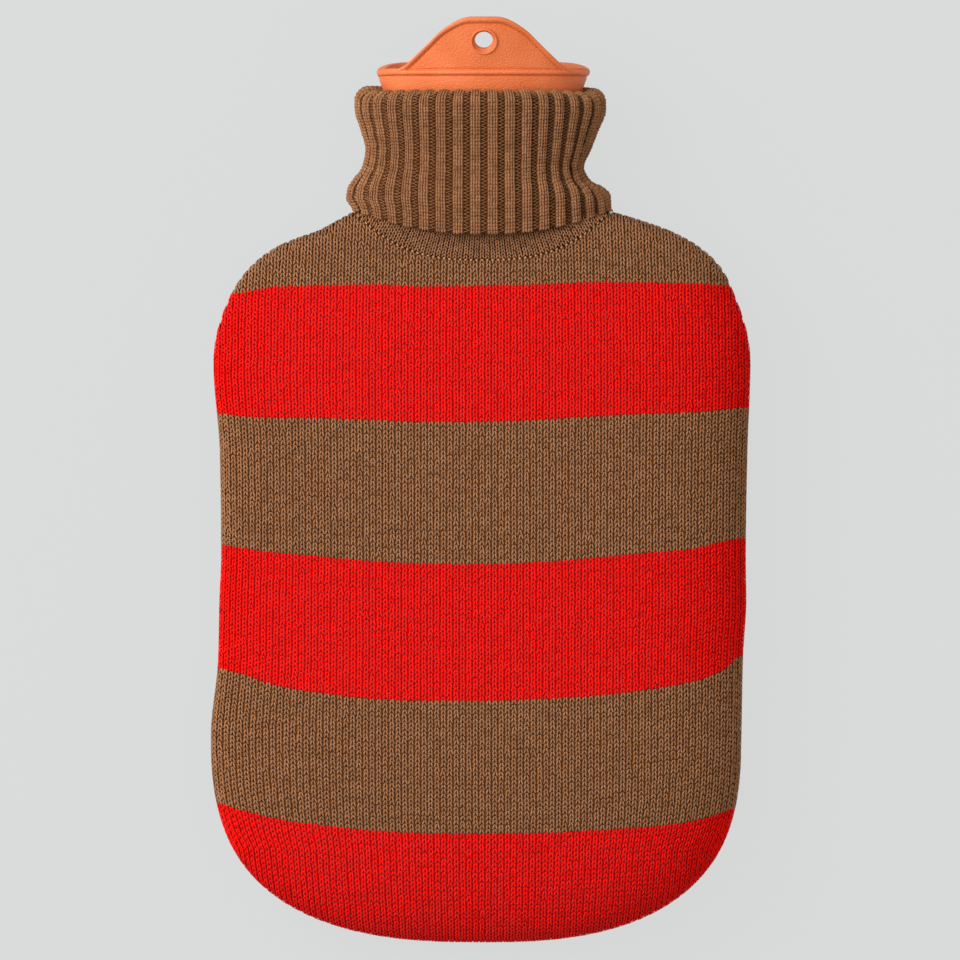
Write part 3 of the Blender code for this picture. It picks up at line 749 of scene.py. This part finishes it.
def rolled(rib, course):
    """The smooth outer face of the turned-down layer and of its fold, without its ribs."""
    y = 0.5 * (FOLD_Y + HEM["front"]) + 0 * (rib + course)
    for _ in range(4):       # the ribs' angles and y settle in four rounds
        angle = rib_angle(rib + 0 * course, y)
        across, front = np.sin(angle), np.cos(angle) >= 0
        hem = dip(HEM, DIP_HALF * across, front)
        drop = np.clip(np.cos(angle) / FRONT_SHARE, 0, 1)
        fold = FOLD_Y - FRONT_DROP * drop ** 2 * (3 - 2 * drop)
        corner_drop = np.where(across < 0, CORNER_DROPS["left"], CORNER_DROPS["right"])
        fold = fold - corner_drop * across ** SIDE_POWER
        y = hem + np.minimum(course / RIB_COURSES, 1) * (fold - hem)
    x, z = ring(ROLL, y, angle)
    turned = np.clip((angle - FLIP_MIDDLE) / FLIP_HALF, -1, 1)
    lift = np.cos(turned * math.pi / 2) ** 2 * np.clip((FLIP_TOP - y) / FLIP_EASE, 0, 1)
    x = x + np.maximum(FLIP_REACH - x, 0) * lift
    # Over the fold it turns inward to the layer against the bottle.
    inner_x = across * half_width(across, FOLD_Y + 0 * y)
    inner_z = skin_height(inner_x, FOLD_Y + 0 * y, front)
    inner_x = inner_x - RIB_KNIT * across
    inner_z = inner_z - RIB_KNIT * np.cos(angle)
    over = np.clip((course - RIB_COURSES) / FOLD_COURSES, 0, 1) * math.pi
    lean = (1 - np.cos(over)) / 2
    return np.stack([x + (inner_x - x) * lean, y + FOLD_RISE * np.sin(over),
                     z + (inner_z - z) * lean], axis=-1)


def rib_profile(rib):
    """How far the knit is sunk in the valleys, which are at the whole numbers."""
    out = np.abs((rib + 0.5) % 1 - 0.5)
    share = np.clip((out - VALLEY_EDGE[0]) / (VALLEY_EDGE[1] - VALLEY_EDGE[0]), 0, 1)
    across = np.sin(2 * math.pi * rib / RIBS)
    side = np.where(across < 0, SIDE_VALLEYS["left"], SIDE_VALLEYS["right"])
    return -RIB_HEIGHT * (1 + side * across ** SIDE_POWER) * (1 - share ** 2 * (3 - 2 * share))


def rib_pieces(name, shape, faces, spots):
    """The same stitch at some spots, in ribs, of every course from the hem to inside the fold."""
    rib, course = (values.ravel() for values in np.meshgrid(
        spots, 0.5 + np.arange(RIB_COURSES + FOLD_COURSES - 1)))
    wanted = shape[None] * (1 + UNEVEN.normal(0, RIB_SPREAD, (len(rib), 1, 3)))
    wanted = wanted + UNEVEN.normal(0, 1, (len(rib), 1, 3)) * RIB_SHAKE
    wanted[..., 2] += rib_profile(rib[:, None] + wanted[..., 0])
    places = laid(rolled, rib, course, wanted, near=RIB_NEAR)
    return many(name, places, faces, rib_wool)


rib_wool = wool("brown_rib_wool", "9A6B48", "805537")
worn = [rib_pieces("collar_rib_stitches", *stitch(RIB_LEG, RIB_WIDTH, RIB_COURSE),
                   np.concatenate([np.arange(RIBS) + spot for spot in WALE_SPOTS])),
        rib_pieces("collar_valley_stitches", *stitch(VALLEY_TURN, RIB_WIDTH, RIB_COURSE, later=0.5),
                   np.arange(RIBS) + 0.0)]


def seam_length(front):
    """Spots along the neckline, and how far along it each lies from the middle."""
    x = np.linspace(-SEAM_HALF, SEAM_HALF, SEAM_STEPS + 1)
    length = length_along(x, dip(NECKLINE, x, front))
    return x, length - length[SEAM_STEPS // 2]


def band(wale, course, front):
    """A point of the collar's plain foot, whose wales fan in from the neckline."""
    x = np.interp(wale * BAND_WALE, *seam_length(front)[::-1])
    rise = course * BAND_COURSE
    y = dip(NECKLINE, x, front) + SEAM_GAP + rise
    x = x * (1 - BAND_FAN * np.maximum(rise, 0))
    limit = BAND_SIDE * half_width(x, y)
    x = np.clip(x, -limit, limit)
    return np.stack([x, y, skin_height(x, y, front)], axis=-1)


# The foot's own stitches are smaller than the body's, and a chain of linking loops runs along the
# neckline below them.
shape, faces = stitch(LEG * (1, 1, 1, BAND_YARN), BAND_WALE, BAND_COURSE)
bm = bmesh.new()
bmesh.ops.create_icosphere(bm, subdivisions=1, radius=1)
bead, bead_faces = shape_of(bm)
# The loops are the brown wool painted lighter: a painted highlight on them.
painted_highlight_chain = wool("brown_linking_painted_highlight", "B18059", "A0714C")
for face, rows in BAND_ROWS.items():
    front = face == "front"
    foot, facing = partial(band, front=front), 1 if front else -1
    reach = seam_length(front)[1][-1]
    spots = np.arange(-int(reach / BAND_WALE), int(reach / BAND_WALE) + 1)
    wale, course = (values.ravel() for values in np.meshgrid(spots, BAND_START + np.arange(rows)))
    places = laid(foot, wale, course, shaken(shape, len(wale)), facing)
    worn.append(many(f"collar_foot_stitches_{face}", places, faces[:, ::facing],
                     YARNS["brown"]))
    loops = np.arange(-int(reach / CHAIN_PITCH), int(reach / CHAIN_PITCH) + 1)
    wale = loops * CHAIN_PITCH / BAND_WALE
    wanted = bead[None] * CHAIN_BEAD * (1 + UNEVEN.normal(0, CHAIN_SPREAD, (len(wale), 1, 3)))
    wanted = wanted / (BAND_WALE, BAND_COURSE, 1) + (0, CHAIN_COURSE, CHAIN_RISE)
    places = laid(foot, wale, 0 * wale, wanted, facing)
    worn.append(many(f"collar_linking_{face}", places, bead_faces[:, ::facing],
                     painted_highlight_chain))

# The cloth under them: its face against the bottle, over the fold and down outside, and then back
# inside.
INNER_ROWS, OUTER_ROWS = 8, 40
INNER_RIBS_Y = 0.3155        # where the inner layer takes its ribs' angles from
angle = rib_angle(eighths, 0 * eighths + INNER_RIBS_Y)
across, front = np.sin(angle), np.cos(angle) >= 0
start = dip(NECKLINE, DIP_HALF * across, front) + SEAM_GAP
y = np.stack([start + share * (FOLD_Y - start) for share in np.linspace(0, 1, INNER_ROWS + 1)])
neck = half_width(across, np.array(NECKLINE["side"]))
x = across * np.minimum(half_width(across[None], y), neck)
skin = np.stack([x, y, skin_height(x, y, front[None])], axis=-1)
depth = np.array([PLAIN_KNIT] + [RIB_KNIT] * INNER_ROWS)[:, None, None]
inside = skin - depth * normals(skin, closed=True)
skin = skin - BAND_GROUND * normals(skin, closed=True)
rib, course = eighths[None], np.linspace(0, RIB_COURSES + FOLD_COURSES - 0.5, OUTER_ROWS)[:, None]
sunk = rib_profile(rib)[..., None] - RIB_GROUND
outside = rolled(rib, course) + outward(rolled, rib, course, RIB_NEAR) * sunk
down = course[course <= RIB_COURSES][:, None]
under = rolled(rib, down) - RIB_KNIT * outward(rolled, rib, down, RIB_NEAR)
bm = bmesh.new()
valley_shade_layer = bm.verts.layers.float.new("sunk")
placed_grid(bm, np.concatenate([outside[::-1], under, skin[::-1], inside, outside[-1:]]))
# The "sunk" attribute masks the valleys' painted shade.
in_valley = -rib_profile(eighths) / RIB_HEIGHT
for number, vert in enumerate(bm.verts):
    vert[valley_shade_layer] = np.clip(2 * in_valley[number % len(eighths)] - 1, 0, 1)
bmesh.ops.remove_doubles(bm, verts=bm.verts, dist=1e-5)
# Painted shade: this cloth is darker than the stitches' wool, and darker still in the valleys.
painted_shade_collar = wool("collar_painted_shade", "6C4426", "5A371D", sunk="462406")
collar = piece_of("collar_cloth", mesh_of("collar_cloth", bm), painted_shade_collar)
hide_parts("collar")

# ---- The hot water bottle: moulded in one piece of coral rubber with a fine, slightly pebbled
# ---- skin.  A round bead runs right round the funnel's mouth and over the tab, a bar crosses the
# ---- tab's foot, and the hole in the tab is sunk in a lip.
BODY_RINGS = (0.0060, 0.0085, 0.013, 0.021, 0.036, 0.075, 0.150, 0.226,
              0.246, 0.258, 0.266, 0.272, 0.2765, 0.280, 0.2825)
BOTTLE_CLEAR, SIDE_SLACK, SLACK_POWER = 0.0004, 0.0022, 5.0
THICKER_FROM, THICKER_TO = 0.238, 0.262
FUNNEL = np.array([
    # y,     left,   right,  front,  seam,   back
    (0.2870, 0.0360, 0.0342, 0.0402, 0.0262, 0.0124),
    (0.2960, 0.0345, 0.0322, 0.0402, 0.0270, 0.0138),
    (0.3080, 0.0335, 0.0315, 0.0402, 0.0270, 0.0138),
    (0.3180, 0.0335, 0.0328, 0.0406, 0.0270, 0.0134),
    (0.3250, 0.0358, 0.0362, 0.0430, 0.0270, 0.0112),
    (0.3310, 0.0386, 0.0390, 0.0454, 0.0270, 0.0093),
    (0.3350, 0.0399, 0.0405, 0.0466, 0.0270, 0.0080),
    (0.3384, 0.0405, 0.0416, 0.0472, 0.0270, 0.0068),
])
RIM_Y = FUNNEL[-1, 0]
FUNNEL_WALL, FUNNEL_FLOOR = 0.0030, 0.3190
INSIDE_LEVELS = (0.3350, 0.3250, FUNNEL_FLOOR)
TOP_ROUND, TAB_BACK_DROP = 0.0005, 0.0020
# The wall's rounded top: how far above its edge, and how far out from its outer face.
WALL_TOP = ((0.0002, -0.0006), (0.0001, TOP_ROUND - FUNNEL_WALL))
TAB = np.array([
    # out from its middle line, height of its edge over the rim
    (0.0000, 0.0207), (0.0050, 0.0207), (0.0080, 0.0202), (0.0110, 0.0190), (0.0140, 0.0173),
    (0.0170, 0.0151), (0.0200, 0.0121), (0.0230, 0.0091), (0.0260, 0.0062), (0.0290, 0.0034),
    (0.0315, 0.0016), (0.0345, 0.0006), (0.0450, 0.0001),
])
TAB_MIDDLE, TAB_LEAN = 0.0007, math.radians(20)
BACK_RISE, BACK_FLATNESS = 0.0036, 8
BEAD_WIDTH, BEAD_RAISE, SIDE_BEAD = 0.0022, 0.0011, 0.0005
BAR_FROM, BAR_TO, BAR_RAISE = 0.3367, 0.3387, 0.0009
GROOVE = 0.0003              # the width and depth of the grooves beside the bead and the bar
HOLE_X, HOLE_Y, HOLE_RADIUS = 0.0007, 0.3497, 0.0035
HOLE_SINK, HOLE_SINK_DEPTH = 0.0046, 0.0012
LIP_RADIUS, LIP_ROUND, LIP_RAISE = 0.0049, 0.0005, 0.0002

TAB_ROWS, TRIM_ROWS, ROUND_STEPS, HOLE_STEPS, LIP_STEPS = 16, 10, 288, 48, 12
SLIVER = 0.00001             # the least room between two rings
SHARP_FROM = math.radians(38)
GRAIN_WIDTH, CLOUD_WIDTH = 1 / 1500, 1 / 70            # its pebbles, and its colour's drift

# Soft natural rubber with a satin skin: its pebbles break up a broad, low shine.
rubber, tree, surface = new_material("coral_rubber")
at = node(tree, "ShaderNodeTexCoord").outputs["Object"]
grain = node(tree, "ShaderNodeTexNoise", Vector=at, Scale=1 / GRAIN_WIDTH, Detail=2.0)
cloud = node(tree, "ShaderNodeTexNoise", Vector=at, Scale=1 / CLOUD_WIDTH, Detail=1.0)
share = node(tree, "ShaderNodeMapRange", Value=cloud.outputs["Fac"], From_Min=0.3, From_Max=0.7)
colour = node(tree, "ShaderNodeMix", {"data_type": "RGBA"}, _0=share.outputs[0],
              _6=linear("CC6532"), _7=linear("DA7140"))
bump = node(tree, "ShaderNodeBump", Strength=0.7, Distance=0.0005, Height=grain.outputs["Fac"])
finish = node(tree, "ShaderNodeBsdfPrincipled", Base_Color=colour.outputs[2], Roughness=0.42,
              Specular_IOR_Level=0.35, Normal=bump.outputs[0])
tree.links.new(finish.outputs[0], surface)


def hump(spot, low, high):
    """A round hump between two places, 1 at its top and 0 outside them."""
    return np.sqrt(np.maximum(1 - ((2 * spot - low - high) / (high - low)) ** 2, 0))


angle = np.linspace(0, 2 * math.pi, ROUND_STEPS + 1)
across, front = np.sin(angle), np.cos(angle) >= 0
y = np.array(BODY_RINGS)[:, None] + 0 * angle
x = across * half_width(across[None], y)
skin = np.stack([x, y, skin_height(x, y, front[None])], axis=-1)
thicker = np.clip((y - THICKER_FROM) / (THICKER_TO - THICKER_FROM), 0, 1)
foot = np.clip((FOOT_ROUND - y) / FOOT_ROUND, 0, 1)
slack = SIDE_SLACK * np.maximum(np.abs(across), foot) ** SLACK_POWER
depth = BOTTLE_CLEAR + PLAIN_KNIT + thicker * (RIB_KNIT - PLAIN_KNIT) + slack
rings = list(skin - depth[..., None] * normals(skin, closed=True))


def add_ring(y, out=0.0):
    """A ring of the neck, the funnel or the tab, some way out from their face."""
    height = np.minimum(y, RIM_Y) + 0 * angle
    left, right, level, seam, back = (along(FUNNEL, column, height) for column in range(1, 6))
    x = across * (np.where(across < 0, left, right) + out)
    bulge = np.sqrt(1 - np.abs(across) ** NECK_POWER)
    z = seam + (np.where(front, level + out, back - out) - seam) * bulge
    lean = np.where(front, math.tan(TAB_LEAN) * np.maximum(y - RIM_Y, 0), 0)
    rings.append(np.stack([x, y + 0 * angle, z + lean], axis=-1))


def trim(y, edge):
    """How far the bar and the bead stand out at y, with a fine groove along each of them."""
    raised = BEAD_RAISE + (SIDE_BEAD - BEAD_RAISE) * across ** 8
    out = np.maximum(np.minimum(raised, BAR_RAISE) * hump(y, BAR_FROM, BAR_TO),
                     raised * hump(y, edge - BEAD_WIDTH, edge))
    beside = np.stack([BAR_FROM - y, y - BAR_TO, edge - BEAD_WIDTH - y])
    grooves = GROOVE * np.clip(1 - np.abs(beside / GROOVE - 1), 0, 1).max(axis=0)
    return np.where(out > 0, out, -grooves)


rim_x = across * np.where(across < 0, FUNNEL[-1, 1], FUNNEL[-1, 2])
rise = np.where(front, along(TAB, 1, np.abs(rim_x - TAB_MIDDLE)),
                BACK_RISE * np.sqrt(1 - np.abs(across) ** BACK_FLATNESS) + TAB[-1, 1])
edge = RIM_Y + rise
for y in FUNNEL[:-2, 0]:
    add_ring(y)
fine = np.sin(np.linspace(-math.pi / 2, math.pi / 2, TRIM_ROWS)) / 2 + 0.5
for y in (BAR_FROM - 5 * GROOVE, BAR_FROM - 2 * GROOVE, BAR_FROM - GROOVE,
          *(BAR_FROM + fine * (BAR_TO - BAR_FROM)), BAR_TO + GROOVE, BAR_TO + 2 * GROOVE):
    y = np.minimum(y, edge - SLIVER * (BAR_TO + 3 * GROOVE - y) / GROOVE)
    add_ring(y, trim(y, edge))
above = BAR_TO + 2 * GROOVE
for share in np.linspace(0, 1, TAB_ROWS + 1)[1:]:
    add_ring(above + share * np.maximum(edge - BEAD_WIDTH - 2 * GROOVE - above, 0))
for share in (-GROOVE / BEAD_WIDTH, *fine):
    y = np.maximum(edge - BEAD_WIDTH * (1 - share), np.minimum(above, edge - SLIVER * (1 - share)))
    add_ring(y, trim(y, edge))
for up, out in WALL_TOP:
    add_ring(edge + up, out)
for y in (edge - TOP_ROUND, RIM_Y + rise / 2 - TAB_BACK_DROP, *INSIDE_LEVELS):
    add_ring(y, -FUNNEL_WALL)
bm = bmesh.new()
placed_grid(bm, np.stack(rings))
bmesh.ops.remove_doubles(bm, verts=bm.verts, dist=2e-6)
bmesh.ops.holes_fill(bm, edges=[edge for edge in bm.edges if edge.is_boundary])
moulding = linked("moulding", mesh_of("moulding", bm))


def turned(name, profile, closed=False):
    """A solid of revolution square to the tab at its hole; its profile is radii and heights.

    It isn't spun, because the order of a spun mesh's faces changes from run to run, and with some
    orders the cut below loses the lip.
    """
    radius, height = np.array(profile + profile[:1] * closed).T[..., None]
    turn = np.linspace(0, 2 * math.pi, HOLE_STEPS + 1)[None]
    bm = bmesh.new()
    placed_grid(bm, np.stack([radius * np.cos(turn), radius * np.sin(turn), height + 0 * turn],
                             axis=-1))
    bmesh.ops.remove_doubles(bm, verts=bm.verts, dist=1e-7)
    made = linked(name, mesh_of(name, bm))
    made.location = (HOLE_X, HOLE_Y, FUNNEL[-1, 3] + math.tan(TAB_LEAN) * (HOLE_Y - RIM_Y))
    made.rotation_euler.x = TAB_LEAN
    return made


turns = np.linspace(0, 2 * math.pi, LIP_STEPS, endpoint=False)
lip = turned("hole_lip", [(LIP_RADIUS + LIP_ROUND * math.cos(turn),
                           LIP_RAISE + LIP_ROUND * math.sin(turn)) for turn in turns], closed=True)
through = 3 * FUNNEL_WALL
sink = turned("hole_sink", [(0, -through), (HOLE_RADIUS, -through), (HOLE_RADIUS, -HOLE_SINK_DEPTH),
                            (HOLE_SINK, LIP_RAISE), (HOLE_SINK, through), (0, through)])
for tool, operation in ((lip, "UNION"), (sink, "DIFFERENCE")):
    modifier = moulding.modifiers.new(tool.name, "BOOLEAN")
    modifier.object, modifier.operation, modifier.solver = tool, operation, "EXACT"
bpy.context.view_layer.update()
cut = moulding.evaluated_get(bpy.context.evaluated_depsgraph_get())
mesh = bpy.data.meshes.new_from_object(cut)
for tool in (moulding, lip, sink):
    bpy.data.objects.remove(tool)
mesh.materials.clear()
bottle = piece_of("bottle_moulding", mesh, rubber)
mesh.set_sharp_from_angle(angle=SHARP_FROM)
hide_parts("bottle")
